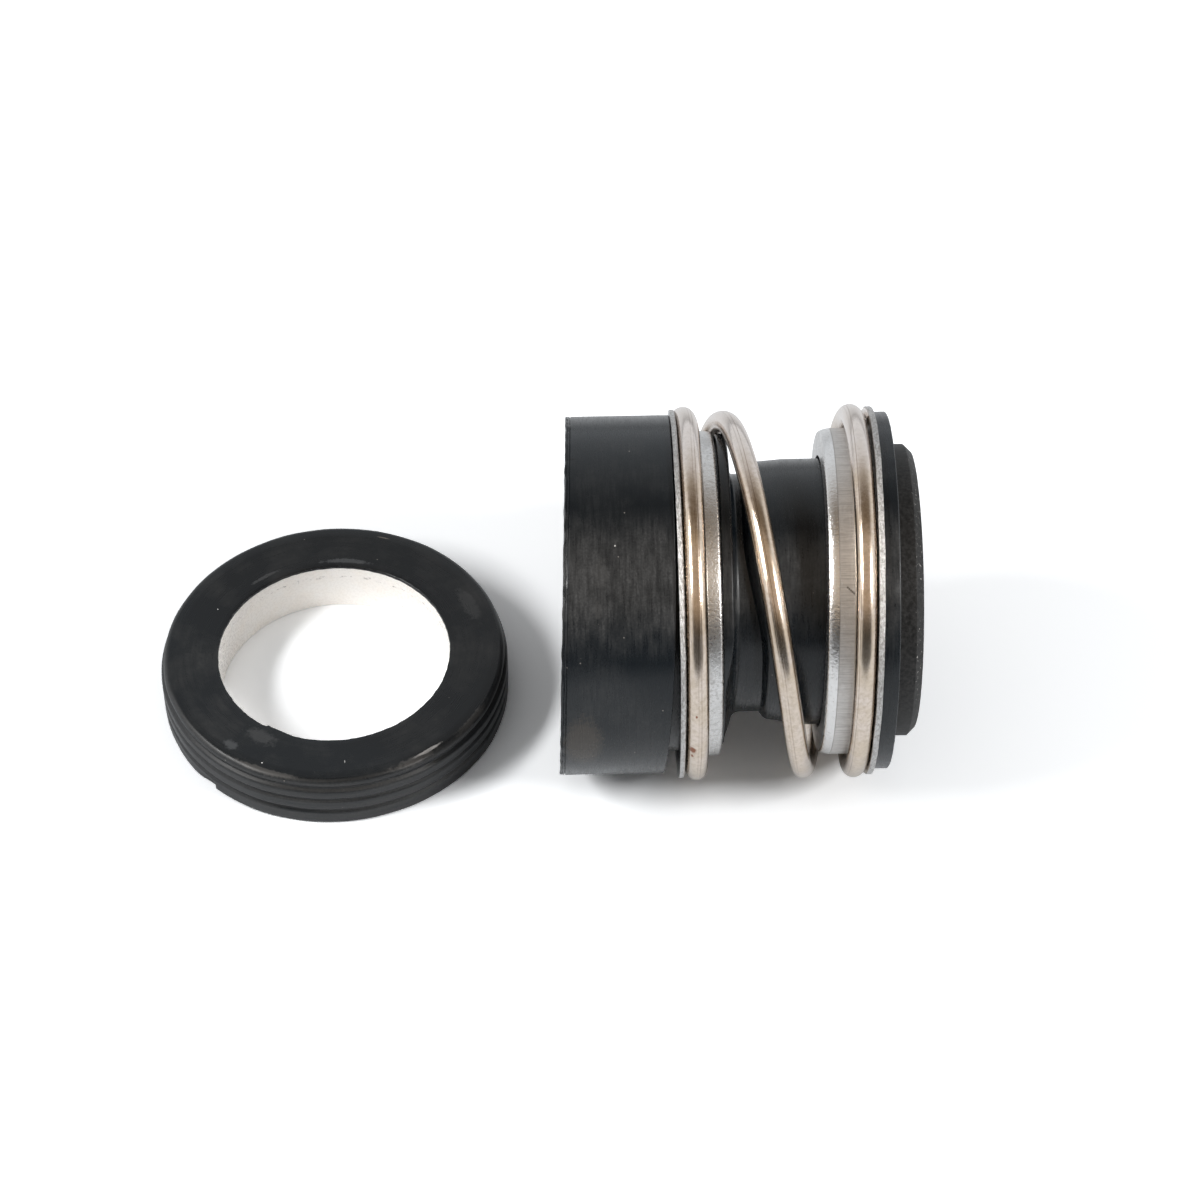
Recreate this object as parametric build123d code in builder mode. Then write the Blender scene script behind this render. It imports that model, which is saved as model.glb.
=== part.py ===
"""Component mechanical seal for a 20 mm shaft, as a set of its two halves.

The rotary unit lies on its side, with its shaft axis along +X and its carbon
face at the +X end. A moulded rubber bellows carries two stamped retainers, a
coil spring between them and the carbon face ring. The stationary seat, a
ceramic ring in a ribbed rubber cup, lies flat beside it with its lapped face
down. Both rest on the plane that the spring's coils touch.

Units are millimetres. The origin is on the shaft axis at the bellows' tail
end, +X runs towards the sealing face and +Z is up.
"""

import os
from math import cos, radians, sin

from build123d import *

# --- Shaft ------------------------------------------------------------------
shaft_dia = 20.0
neck_room = 0.2             # shaft clear of the neck, on the radius
face_room = 0.6             # shaft clear of the face ring, on the radius
seat_room = 1.95            # shaft clear of the seat ring, on the radius

# --- Stamped retainers ------------------------------------------------------
collar_dia = 32.6           # drawn collar and cup, inside the spring
flange_width = 2.1
flange_bend = 0.3           # inside radius of the bend into the flange
tail_sheet = 0.5
tail_collar_depth = 4.25    # over the flange
tail_collar_radius = 0.9    # drawn corner, outside
tail_collar_lip = 0.5       # turned in past the collar's wall
head_sheet = 0.6
head_cup_depth = 5.3        # over the flange
head_cup_radius = 1.0       # drawn corner, outside

# --- Bellows ----------------------------------------------------------------
tail_length = 10.4
tail_inset = 0.5            # thick drive collar of rubber, inside the flange's edge
tail_lean = 1.8             # the free tail sits out of square, degrees
tail_lean_about = 132.0     # direction of the hinge line round +X from +Y, degrees
neck_wall = 1.7             # thin part that folds
lip_height = 0.65           # bead that holds the tail retainer on
lip_length = 0.7
lip_radius = 0.3
head_tube_step = 1.4        # wider tube between the fold and the head cup
head_tube_wall = 1.6
head_tube_length = 6.1      # from the fold to the head cup
fold_radius = 1.3
rubber_flange_inset = 0.55  # rubber behind the head cup, inside the flange's edge
rubber_flange_width = 1.5
plug_wall = 0.96            # rubber round the face ring in the head cup

# --- Spring -----------------------------------------------------------------
wire_dia = 2.2
coil_room = 0.2             # wire clear of the collars, on the radius
spring_length = 18.6        # over the two ground faces
coil_lift = 0.05            # closed coils off the flanges, where they aren't ground
tip_thickness = 0.2         # what grinding leaves of the wire at its two tips
tail_tip_angle = -50.0      # where the wire starts, round +X from +Y, degrees
head_tip_angle = 1141.0     # where it ends, three turns and more on
# How far the wire has climbed at an angle: 0 is the coil on the tail flange, 1 the one on the
# head flange. Its ground ends sink into the flanges' planes beyond the first and last angle.
climb_angles = (
    (70.0, 0.0),
    (200.0, 0.005),
    (320.0, 0.07),
    (434.0, 0.288),
    (548.0, 0.609),
    (660.0, 0.86),
    (781.0, 0.985),
    (860.0, 1.0),
    (942.0, 1.0),
)
points_per_turn = 18

# --- Carbon face ring -------------------------------------------------------
face_length = 7.0
face_stand_out = 2.65       # length that stands out of the rubber
face_chamfer = 0.75

# --- Stationary seat --------------------------------------------------------
seat_centre_x = -23.8
seat_centre_y = 4.3
seat_ring_wall = 3.55
seat_ring_height = 5.75
seat_ring_chamfer = 0.2
cup_wall = 2.0              # rubber round the ring, at the grooves
cup_floor = 0.5             # rubber over the back of the ring
cup_foot = 0.1              # ring that stands below the cup
cup_ribs = 3
cup_rib_height = 0.43
cup_rib_radius = 0.2
cup_groove_width = 0.3
cup_rim_inset = 0.2         # bead round the back face, inside the ribs
cup_rim_width = 1.0
cup_bead_width = 0.7
cup_bead_height = 0.15

# --- Clearances -------------------------------------------------------------
grip_gap = 0.12             # rubber in the retainers, on the radius
hole_gap = 0.3              # head tube in the cup's hole, on the radius
face_gap = 0.03             # between faces that meet
ring_gap = 0.02             # rings in their rubber, on the radius
bend_gap = 0.1              # rubber clear of the inside of a drawn corner
overrun = 1.0               # cuts run this far past the solid

# --- Diameters that follow --------------------------------------------------
neck_bore = shaft_dia + 2 * neck_room
neck_dia = neck_bore + 2 * neck_wall
head_tube_dia = neck_dia + 2 * head_tube_step
head_tube_bore = head_tube_dia - 2 * head_tube_wall
head_cup_hole = head_tube_dia + 2 * hole_gap
head_cup_bore = collar_dia - 2 * head_sheet
tail_collar_bore = collar_dia - 2 * tail_sheet
tail_collar_hole = tail_collar_bore - 2 * tail_collar_lip
retainer_dia = collar_dia + 2 * flange_width
tail_dia = retainer_dia - 2 * tail_inset
rubber_flange_dia = retainer_dia - 2 * rubber_flange_inset
land_dia = tail_collar_bore - 2 * grip_gap
groove_dia = tail_collar_hole - 2 * grip_gap
lip_dia = tail_collar_hole + 2 * lip_height
plug_dia = head_cup_bore - 2 * grip_gap
pocket_dia = plug_dia - 2 * plug_wall
face_dia = pocket_dia - 2 * ring_gap
face_bore = shaft_dia + 2 * face_room
coil_radius = collar_dia / 2 + coil_room + wire_dia / 2
seat_ring_bore = shaft_dia + 2 * seat_room
seat_ring_dia = seat_ring_bore + 2 * seat_ring_wall
cup_bore = seat_ring_dia + 2 * ring_gap
cup_root_dia = cup_bore + 2 * cup_wall
cup_dia = cup_root_dia + 2 * cup_rib_height
cup_rim_dia = cup_dia - 2 * cup_rim_inset

# --- Places that follow -----------------------------------------------------
lean = radians(tail_lean)
flange_to_hinge = tail_collar_depth / 2
shoulder_to_hinge = (flange_to_hinge + face_gap + tail_dia / 2 * sin(lean)) / cos(lean)
hinge_x = (shoulder_to_hinge + tail_length) / cos(lean)
tail_flange_x = hinge_x - flange_to_hinge
tail_collar_end_x = tail_flange_x + tail_collar_depth
land_reach = flange_to_hinge - tail_collar_radius - land_dia / 2 * sin(lean)
lip_x = tail_collar_end_x + face_gap
neck_x = lip_x + lip_length
spring_x = tail_flange_x + tail_sheet
head_flange_x = spring_x + spring_length
rubber_flange_x = head_flange_x + head_sheet
cup_end_x = rubber_flange_x - head_cup_depth
cup_inside_x = cup_end_x + head_sheet
fold_x = cup_end_x - head_tube_length
rubber_front_x = rubber_flange_x + face_gap + rubber_flange_width
face_front_x = rubber_front_x + face_stand_out
face_back_x = face_front_x - face_length
rest_z = -coil_radius - wire_dia / 2
cup_inside_z = seat_ring_height + face_gap
cup_top_z = cup_inside_z + cup_floor

os.makedirs("parts", exist_ok=True)


def corners(*points):
    """Corners of the open sketch that lie nearest the given points."""
    return [vertices().sort_by_distance(point)[0] for point in points]


# --- Bellows: one moulding, its tail leaning in the tail retainer ------------
hinge_line = Vector(0, cos(radians(tail_lean_about)), sin(radians(tail_lean_about)))
tail_axis = Vector(1, 0, 0).rotate(Axis((0, 0, 0), hinge_line), -tail_lean)
tail_plane = Plane(origin=(hinge_x, 0, 0), x_dir=tail_axis, z_dir=hinge_line)

with BuildPart() as bellows:
    with BuildSketch(tail_plane):
        with BuildLine():
            Polyline(
                (-shoulder_to_hinge - tail_length, 0),
                (-shoulder_to_hinge - tail_length, tail_dia / 2),
                (-shoulder_to_hinge, tail_dia / 2),
                (-shoulder_to_hinge, land_dia / 2),
                (land_reach, land_dia / 2),
                (land_reach, 0),
                close=True,
            )
        make_face()
    revolve(axis=Axis((hinge_x, 0, 0), tail_axis))

    with BuildSketch(Plane.XZ):
        with BuildLine():
            Polyline(
                (hinge_x, 0),
                (hinge_x, groove_dia / 2),
                (lip_x, groove_dia / 2),
                (lip_x, lip_dia / 2),
                (neck_x, lip_dia / 2),
                (neck_x, neck_dia / 2),
                (fold_x, neck_dia / 2),
                (fold_x, head_tube_dia / 2),
                (cup_inside_x + face_gap, head_tube_dia / 2),
                (cup_inside_x + face_gap, plug_dia / 2),
                (rubber_flange_x + face_gap, plug_dia / 2),
                (rubber_flange_x + face_gap, rubber_flange_dia / 2),
                (rubber_front_x, rubber_flange_dia / 2),
                (rubber_front_x, 0),
                close=True,
            )
        make_face()
        fillet(corners((lip_x, lip_dia / 2), (neck_x, lip_dia / 2)), lip_radius)
        fillet(corners((fold_x, head_tube_dia / 2)), fold_radius)
        fillet(corners((cup_inside_x, plug_dia / 2)), head_cup_radius - head_sheet + bend_gap)
    revolve(axis=Axis.X)

    with BuildSketch(Plane.XZ):
        with BuildLine():
            Polyline(
                (-tail_length, 0),
                (-tail_length, shaft_dia / 2),
                (neck_x, shaft_dia / 2),
                (neck_x, neck_bore / 2),
                (fold_x + head_tube_wall, neck_bore / 2),
                (fold_x + head_tube_wall, head_tube_bore / 2),
                (face_back_x - face_gap, head_tube_bore / 2),
                (face_back_x - face_gap, pocket_dia / 2),
                (rubber_front_x + overrun, pocket_dia / 2),
                (rubber_front_x + overrun, 0),
                close=True,
            )
        make_face()
    revolve(axis=Axis.X, mode=Mode.SUBTRACT)


# --- Tail retainer: flange under the spring, collar over the rubber ----------
with BuildPart() as tail_retainer:
    with BuildSketch(Plane.XZ):
        with BuildLine():
            Polyline(
                (tail_flange_x, tail_collar_bore / 2),
                (tail_flange_x, retainer_dia / 2),
                (spring_x, retainer_dia / 2),
                (spring_x, collar_dia / 2),
                (tail_collar_end_x, collar_dia / 2),
                (tail_collar_end_x, tail_collar_hole / 2),
                (tail_collar_end_x - tail_sheet, tail_collar_hole / 2),
                (tail_collar_end_x - tail_sheet, tail_collar_bore / 2),
                close=True,
            )
        make_face()
        drawn_inside = corners((tail_collar_end_x - tail_sheet, tail_collar_bore / 2))
        fillet(drawn_inside, tail_collar_radius - tail_sheet)
        fillet(corners((tail_collar_end_x, collar_dia / 2)), tail_collar_radius)
        fillet(corners((spring_x, collar_dia / 2)), flange_bend)
        fillet(corners((tail_flange_x, tail_collar_bore / 2)), flange_bend + tail_sheet)
    revolve(axis=Axis.X)


# --- Head retainer: cup over the rubber and flange over the spring -----------
with BuildPart() as head_retainer:
    with BuildSketch(Plane.XZ):
        with BuildLine():
            Polyline(
                (cup_end_x, head_cup_hole / 2),
                (cup_end_x, collar_dia / 2),
                (head_flange_x, collar_dia / 2),
                (head_flange_x, retainer_dia / 2),
                (rubber_flange_x, retainer_dia / 2),
                (rubber_flange_x, head_cup_bore / 2),
                (cup_inside_x, head_cup_bore / 2),
                (cup_inside_x, head_cup_hole / 2),
                close=True,
            )
        make_face()
        fillet(corners((cup_end_x, collar_dia / 2)), head_cup_radius)
        fillet(corners((cup_inside_x, head_cup_bore / 2)), head_cup_radius - head_sheet)
        fillet(corners((head_flange_x, collar_dia / 2)), flange_bend)
        fillet(corners((rubber_flange_x, head_cup_bore / 2)), flange_bend + head_sheet)
    revolve(axis=Axis.X)


# --- Spring: right-handed, closed and ground at both ends --------------------
closed_x = spring_x + coil_lift + wire_dia / 2
climb_length = spring_length - wire_dia - 2 * coil_lift
sunk = (coil_lift + wire_dia - tip_thickness) / climb_length
coil_places = ((tail_tip_angle, -sunk), *climb_angles, (head_tip_angle, 1 + sunk))


def steepness(index):
    """Slope of the climb at one of its places: level at the ends and where it stops."""
    if index in (0, len(coil_places) - 1):
        return 0.0
    (before, low), (here, level), (after, high) = coil_places[index - 1 : index + 2]
    left = (level - low) / (here - before)
    right = (high - level) / (after - here)
    return 2 * left * right / (left + right) if left * right > 0 else 0.0


def climb(angle):
    """Share of the way up at an angle, on a smooth curve through the places."""
    index = max(i for i in range(len(coil_places) - 1) if coil_places[i][0] <= angle)
    (start, low), (end, high) = coil_places[index : index + 2]
    run = end - start
    t = (angle - start) / run
    low_slope = steepness(index) * run
    high_slope = steepness(index + 1) * run
    bend = 3 * (high - low) - 2 * low_slope - high_slope
    twist = low_slope + high_slope - 2 * (high - low)
    return low + t * (low_slope + t * (bend + t * twist))


def coil_point(angle):
    """Wire centre at an angle."""
    turn = radians(angle)
    return (closed_x + climb_length * climb(angle), coil_radius * cos(turn), coil_radius * sin(turn))


swept_angle = head_tip_angle - tail_tip_angle
coil_steps = round(swept_angle / 360 * points_per_turn)
coil_points = [coil_point(tail_tip_angle + swept_angle * step / coil_steps) for step in range(coil_steps + 1)]

with BuildPart() as spring:
    with BuildLine():
        coil = Spline(*coil_points)
    with BuildSketch(Plane(origin=coil @ 0, z_dir=coil % 0)):
        Circle(wire_dia / 2)
    sweep(path=coil, is_frenet=True)
    split(bisect_by=Plane.YZ.offset(spring_x), keep=Keep.TOP)
    split(bisect_by=Plane.YZ.offset(head_flange_x), keep=Keep.BOTTOM)


# --- Carbon face ring --------------------------------------------------------
with BuildPart() as face_ring:
    with BuildSketch(Plane.XZ):
        with BuildLine():
            Polyline(
                (face_back_x, face_bore / 2),
                (face_back_x, face_dia / 2),
                (face_front_x, face_dia / 2),
                (face_front_x, face_bore / 2),
                close=True,
            )
        make_face()
        chamfer(corners((face_front_x, face_dia / 2)), face_chamfer)
    revolve(axis=Axis.X)


# --- Seat: ceramic ring, lapped face down ------------------------------------
seat_plane = Plane(origin=(seat_centre_x, seat_centre_y, rest_z), x_dir=(1, 0, 0), z_dir=(0, -1, 0))
seat_axis = Axis((seat_centre_x, seat_centre_y, rest_z), (0, 0, 1))

with BuildPart() as seat_ring:
    with BuildSketch(seat_plane):
        with BuildLine():
            Polyline(
                (seat_ring_bore / 2, 0),
                (seat_ring_bore / 2, seat_ring_height),
                (seat_ring_dia / 2, seat_ring_height),
                (seat_ring_dia / 2, 0),
                close=True,
            )
        make_face()
        chamfer(corners((seat_ring_bore / 2, 0), (seat_ring_dia / 2, 0)), seat_ring_chamfer)
    revolve(axis=seat_axis)


# --- Seat: ribbed rubber cup over the ring -----------------------------------
rib_pitch = (cup_top_z - cup_rim_width - cup_foot) / cup_ribs

with BuildPart() as seat_cup:
    with BuildSketch(seat_plane):
        with BuildLine():
            Polyline(
                (seat_ring_bore / 2, cup_inside_z),
                (seat_ring_bore / 2, cup_top_z - cup_bead_height),
                (cup_rim_dia / 2 - cup_bead_width, cup_top_z - cup_bead_height),
                (cup_rim_dia / 2 - cup_bead_width, cup_top_z),
                (cup_rim_dia / 2, cup_top_z),
                (cup_rim_dia / 2, cup_top_z - cup_rim_width),
                (cup_root_dia / 2, cup_top_z - cup_rim_width),
                (cup_root_dia / 2, cup_foot),
                (cup_bore / 2, cup_foot),
                (cup_bore / 2, cup_inside_z),
                close=True,
            )
        make_face()
        fillet(corners((cup_rim_dia / 2, cup_top_z)), cup_rib_radius)
    revolve(axis=seat_axis)
    for rib in range(cup_ribs):
        with BuildSketch(seat_plane):
            with Locations((cup_root_dia / 2, cup_foot + rib * rib_pitch)):
                Rectangle(
                    cup_rib_height,
                    rib_pitch - cup_groove_width,
                    align=(Align.MIN, Align.MIN),
                )
            fillet(vertices().group_by(Axis.X)[-1], cup_rib_radius)
        revolve(axis=seat_axis)


bellows.part.label = "bellows"
tail_retainer.part.label = "tail_retainer"
head_retainer.part.label = "head_retainer"
spring.part.label = "spring"
face_ring.part.label = "face_ring"
seat_ring.part.label = "seat_ring"
seat_cup.part.label = "seat_cup"

export_step(bellows.part, "parts/bellows.step")
export_step(tail_retainer.part, "parts/tail_retainer.step")
export_step(head_retainer.part, "parts/head_retainer.step")
export_step(spring.part, "parts/spring.step")
export_step(face_ring.part, "parts/face_ring.step")
export_step(seat_ring.part, "parts/seat_ring.step")
export_step(seat_cup.part, "parts/seat_cup.step")
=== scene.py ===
"""Looks of the component mechanical seal: bellows, retainers, spring, face ring and seat."""

from math import cos, pi, radians, sin, tan

import bpy
import numpy as np
from mathutils import Matrix, Vector


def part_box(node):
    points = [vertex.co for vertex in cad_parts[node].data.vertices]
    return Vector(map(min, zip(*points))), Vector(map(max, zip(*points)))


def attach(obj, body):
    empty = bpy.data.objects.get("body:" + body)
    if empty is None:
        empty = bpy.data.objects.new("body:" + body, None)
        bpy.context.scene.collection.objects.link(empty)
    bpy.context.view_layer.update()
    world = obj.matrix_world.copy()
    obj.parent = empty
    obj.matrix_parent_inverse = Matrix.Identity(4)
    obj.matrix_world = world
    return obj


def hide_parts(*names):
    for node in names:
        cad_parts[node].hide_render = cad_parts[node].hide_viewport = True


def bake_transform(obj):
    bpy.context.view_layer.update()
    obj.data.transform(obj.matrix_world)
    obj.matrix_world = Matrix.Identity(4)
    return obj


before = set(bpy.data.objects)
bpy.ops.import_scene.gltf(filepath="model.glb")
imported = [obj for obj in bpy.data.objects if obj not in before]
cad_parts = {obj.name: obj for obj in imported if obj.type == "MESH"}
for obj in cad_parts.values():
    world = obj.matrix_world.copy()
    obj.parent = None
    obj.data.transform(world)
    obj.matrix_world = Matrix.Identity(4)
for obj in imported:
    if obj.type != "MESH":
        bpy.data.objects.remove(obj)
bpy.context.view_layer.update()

# Lengths below are in millimetres and angles in degrees; meshes are scaled to metres when made.
MM = 0.001

# --- Places read from the frame ---------------------------------------------
bellows_high = Vector(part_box("bellows")[1]) / MM
tail_ret_low, tail_ret_high = (Vector(p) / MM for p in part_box("tail_retainer"))
head_ret_low, head_ret_high = (Vector(p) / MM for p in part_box("head_retainer"))
spring_low, spring_high = (Vector(p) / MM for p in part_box("spring"))
face_low, face_high = (Vector(p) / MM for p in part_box("face_ring"))
seat_low, seat_high = (Vector(p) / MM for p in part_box("seat_ring"))
cup_low, cup_high = (Vector(p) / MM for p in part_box("seat_cup"))

seat_centre = Vector(((seat_low.x + seat_high.x) / 2, (seat_low.y + seat_high.y) / 2, 0))
seat_r = (seat_high.x - seat_low.x) / 2
seat_bore_r = 11.95
cup_r = (cup_high.x - cup_low.x) / 2
seat_mean_r = (seat_bore_r + cup_r) / 2

floor_z = min(spring_low.z, seat_low.z)
tail_flange_x = tail_ret_low.x
tail_collar_end_x = tail_ret_high.x
retainer_r = tail_ret_high.y
cup_end_x = head_ret_low.x
rubber_flange_x = head_ret_high.x
rubber_front_x = bellows_high.x

# --- Sizes of the rubber, the stampings and the face ring -------------------
shaft_r = 10.0
tail_r = 17.9               # the rubber tail
tail_length = 10.869        # its leaning end just inside the CAD box
land_r = 15.68
groove_r = 15.18
groove_run = 0.9            # the groove's start before the collar's end
lip_r = 15.95
lip_length = 1.1
neck_r = 11.9
neck_bore_r = 10.2
tube_r = 13.3               # the rubber tube under the head cup
tube_bore_r = 11.7
fold_wall = 1.6
head_tube_length = 6.1
rubber_flange_r = 17.85
plug_r = 15.58              # the rubber inside the head cup
pocket_r = 14.62            # its pocket for the face ring
face_gap = 0.03             # clearance between faces that meet
collar_r = 16.3
tail_sheet = 0.5
tail_collar_hole_r = 15.3
tail_corner = 0.38          # drawn corner, outside
tail_taper = 0.16           # collar narrower at its end
taper_run = 1.6
inside_corner = 0.4
flange_corner = 0.3         # where a collar turns out into its flange
sheared_round = 0.06        # edges of the flanges
die_round = 0.12
head_sheet = 0.6
head_cup_hole_r = 13.6
head_corner = 0.3
cup_band = 1.1              # smooth bowed band at the cup's end
cup_band_drop = 0.32
face_bore_r = 10.6
face_chamfer = 0.75

# The side that faces the camera and the top edge as the camera sees it, as angles round +X from +Y.
near_angle = 132.0
top_angle = near_angle - 90.0

# --- How the real unit sits out of true -------------------------------------
tail_lean = 1.94            # end face of the rubber tail
shoulder_gap = 0.2          # tail from its retainer
shoulder_wedge = 1.1        # extra gap at the foot
retainer_lean = 0.5         # tail retainer, the other way
head_lean = 1.0             # head retainer with its coils and rubber flange
head_lean_about = 45.0
front_share = 0.7           # of the head's lean, at the front of the rubber
carbon_share = 0.3          # of it, on the face ring
arch_drop = 0.45            # active coil inside its circle, over the top
lip_tuck = 0.75             # lip drawn in at the foot
lip_sink = 0.8
crease_reach = 1.7          # crease of the fold, nearer to the lip on the front and over the top
foot_drop = 0.35            # shoulder of the fold, flattened at the foot
tag_depth = 0.26            # flash left on the bore edge of the seat's cup
chip_depth = 0.3            # chip out of its foot
# The part of the ring that each takes up: where it sets in, is full, fades and is gone.
lip_window = (148, 173, 262, 292)
crease_gap = (105, 165, 250, 300)
flat_window = (150, 185, 250, 285)
tag_window = (236, 237, 238, 258)
chip_window = (218.0, 226.0, 226.8, 227.2)
# Unevenness of edges and mouldings, to either side.
tail_burr = 0.09
tail_waves = 0.07
rim_burr = 0.03
sheared_burr = 0.02
tail_flange_waves = 0.02
head_flange_waves = 0.03
ring_chips = 0.02
cup_waves = 0.03
cup_waves_inward = 1.4      # keeps them inside the CAD's outline

# --- Spring, as in the part's source ----------------------------------------
wire_r = 1.1
coil_lift = 0.05
tip_thickness = 0.2
tail_tip_angle = -50.0
head_tip_angle = 1141.0
active_turn = 360.0         # the turn in which the active coil passes over the top
arch_span = 58.0            # how far round its arch is drawn in
lean_hold = 2.0             # length of closed coils that leans with a retainer
lean_fade = 4.0             # and over which the lean fades
climb_angles = (            # angle and share of the climb
    (70.0, 0.0),
    (200.0, 0.005),
    (320.0, 0.07),
    (434.0, 0.288),
    (548.0, 0.609),
    (660.0, 0.86),
    (781.0, 0.985),
    (860.0, 1.0),
    (942.0, 1.0),
)

# --- Camera -----------------------------------------------------------------
view_elevation = 47.86
view_azimuth = 0.88         # unit turned from square to the camera
view_roll = -0.43
view_distance = 375.3
view_target = Vector((3.645, -0.644, 0.0))
focal_share = 3753 / 1200   # focal length over the picture's width


# --- Mesh helpers -----------------------------------------------------------
def rounded(corners, arc_steps=5, run_step=0.6):
    """Closed outline from (along, radius) or (along, radius, corner radius) points."""
    points = []
    count = len(corners)
    for index, corner in enumerate(corners):
        here = Vector(corner[:2])
        size = corner[2] if len(corner) > 2 else 0.0
        if size == 0.0:
            points.append(here)
            continue
        before = (Vector(corners[index - 1][:2]) - here).normalized()
        after = (Vector(corners[(index + 1) % count][:2]) - here).normalized()
        half = before.angle(after) / 2
        reach = size / tan(half)
        centre = here + (before + after).normalized() * size / sin(half)
        start = here + before * reach - centre
        end = here + after * reach - centre
        turn = start.angle_signed(end)
        for step in range(arc_steps + 1):
            spot = start.copy()
            spot.rotate(Matrix.Rotation(-turn * step / arc_steps, 2))
            points.append(centre + spot)
    dense = []
    for index, point in enumerate(points):
        after = points[(index + 1) % len(points)]
        pieces = max(1, round((after - point).length / run_step))
        dense += [point.lerp(after, piece / pieces) for piece in range(pieces)]
    return np.array([tuple(point) for point in dense])


def add_piece(name, vertices, faces, uv, body, node, material, sharp=40.0):
    """A mesh from millimetre points, riding on a body in place of its CAD node."""
    mesh = bpy.data.meshes.new(name)
    mesh.from_pydata((np.asarray(vertices) * MM).tolist(), [], faces)
    layer = mesh.uv_layers.new(name="wrap")
    layer.data.foreach_set("uv", np.asarray(uv, dtype=np.float32).ravel())
    mesh.shade_smooth()
    mesh.set_sharp_from_angle(angle=radians(sharp))
    mesh.materials.append(material)
    piece = bpy.data.objects.new(name, mesh)
    bpy.context.scene.collection.objects.link(piece)
    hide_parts(node)
    if body:
        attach(piece, body)
    return piece


def grid(rows, columns):
    """Quads of a sheet that closes on itself both ways, and the grid place of their corners."""
    faces, places = [], []
    for row in range(rows):
        for column in range(columns):
            corner = [(row, column), (row + 1, column), (row + 1, column + 1), (row, column + 1)]
            faces.append([(r % rows) * columns + c % columns for r, c in corner])
            places += corner
    return faces, np.array(places)


def turned(outline, columns=384, seam=300.0, shift=None):
    """Vertices, faces and wrap of an outline turned round the shaft axis.

    shift(x, r, angle) moves the points out of true; the wrap is in millimetres.
    """
    rows = len(outline)
    angles = np.radians(seam + np.arange(columns) * 360 / columns)
    x = np.repeat(outline[:, 0:1], columns, axis=1)
    r = np.repeat(outline[:, 1:2], columns, axis=1)
    turn = np.repeat(angles[None, :], rows, axis=0)
    if shift:
        x, r = shift(x, r, turn)
    vertices = np.stack([x, r * np.cos(turn), r * np.sin(turn)], axis=-1).reshape(-1, 3)
    faces, places = grid(rows, columns)
    gaps = np.hypot(*(np.roll(outline, -1, axis=0) - outline).T)
    along = np.concatenate([[0], np.cumsum(gaps)])
    round_length = 2 * pi * outline[:, 1].max()
    uv = np.stack([places[:, 1] / columns * round_length, along[places[:, 0]]], axis=-1)
    return vertices, faces, uv


def lift(turn, about):
    """1 at the angle about, 0 opposite it."""
    return (1 + np.cos(turn - radians(about))) / 2


def ripple(turn, seed, waves=(3, 5, 8, 13, 21)):
    """Uneven but repeatable waviness round a ring, about -1 to 1."""
    phases = np.random.default_rng(seed).uniform(0, 2 * pi, len(waves))
    total = sum(np.cos(turn * count + phase) for count, phase in zip(waves, phases))
    return total / len(waves) ** 0.75


def ease(value, low, high):
    """Smooth step from 0 at low to 1 at high."""
    share = np.clip((value - low) / (high - low), 0, 1)
    return share * share * (3 - 2 * share)


# --- Material helpers -------------------------------------------------------
def new_material(name):
    """A material, its tree and its shader."""
    material = bpy.data.materials.new(name)
    material.use_nodes = True
    return material, material.node_tree, material.node_tree.nodes["Principled BSDF"]


def add(tree, kind, inputs=None, **settings):
    """A shader node; its inputs are values or other nodes' sockets."""
    made = tree.nodes.new("ShaderNode" + kind)
    for key, value in settings.items():
        setattr(made, key, value)
    for key, value in (inputs or {}).items():
        if isinstance(value, bpy.types.NodeSocket):
            tree.links.new(value, made.inputs[key])
        else:
            made.inputs[key].default_value = value
    return made


def maths(tree, operation, first, second=0.0):
    """Result of an operation on two values or sockets."""
    return add(tree, "Math", {0: first, 1: second}, operation=operation).outputs[0]


def stretched(tree, source, scale):
    """Coordinates in millimetres times a scale for each axis."""
    return add(tree, "Mapping", {"Vector": source, "Scale": scale}).outputs[0]


def place(tree):
    """Object coordinates in millimetres."""
    return stretched(tree, add(tree, "TexCoord").outputs["Object"], (1 / MM, 1 / MM, 1 / MM))


def wrap(tree):
    """Millimetres round and along a turned piece; millimetres along and radians round the wire."""
    return add(tree, "UVMap", uv_map="wrap").outputs[0]


def noise(tree, vector, scale, detail, roughness):
    """Smooth noise about 0.5; scale is its features per millimetre."""
    inputs = {"Vector": vector, "Scale": scale, "Detail": detail, "Roughness": roughness}
    return add(tree, "TexNoise", inputs).outputs["Fac"]


def spots(tree, vector, scale, size):
    """1 on sparse round specks, 0 between them."""
    cells = add(tree, "TexVoronoi", {"Vector": vector, "Scale": scale}).outputs["Distance"]
    return span(tree, cells, size, size * 0.4)


def span(tree, value, low, high, to_low=0.0, to_high=1.0):
    """value mapped from low..high to another range, and held at its ends."""
    inputs = {"Value": value, "From Min": low, "From Max": high}
    inputs.update({"To Min": to_low, "To Max": to_high})
    return add(tree, "MapRange", inputs).outputs["Result"]


def on(x, r, angle):
    """A point of a round surface, in millimetres."""
    return (x, r * cos(radians(angle)), r * sin(radians(angle)))


def mark(tree, here, spot, reach, ragged=0.0):
    """1 near a spot and 0 beyond its reach along each axis; ragged breaks its edge up."""
    apart = add(tree, "VectorMath", {0: here, 1: spot}, operation="SUBTRACT").outputs[0]
    apart = stretched(tree, apart, tuple(1 / size for size in reach))
    away = add(tree, "VectorMath", {0: apart}, operation="LENGTH").outputs["Value"]
    if ragged:
        uneven = maths(tree, "MULTIPLY", noise(tree, here, 2.2, 4.0, 0.65), 2 * ragged)
        away = maths(tree, "SUBTRACT", maths(tree, "ADD", away, uneven), ragged)
    return span(tree, away, 1.0, 0.6)


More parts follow.
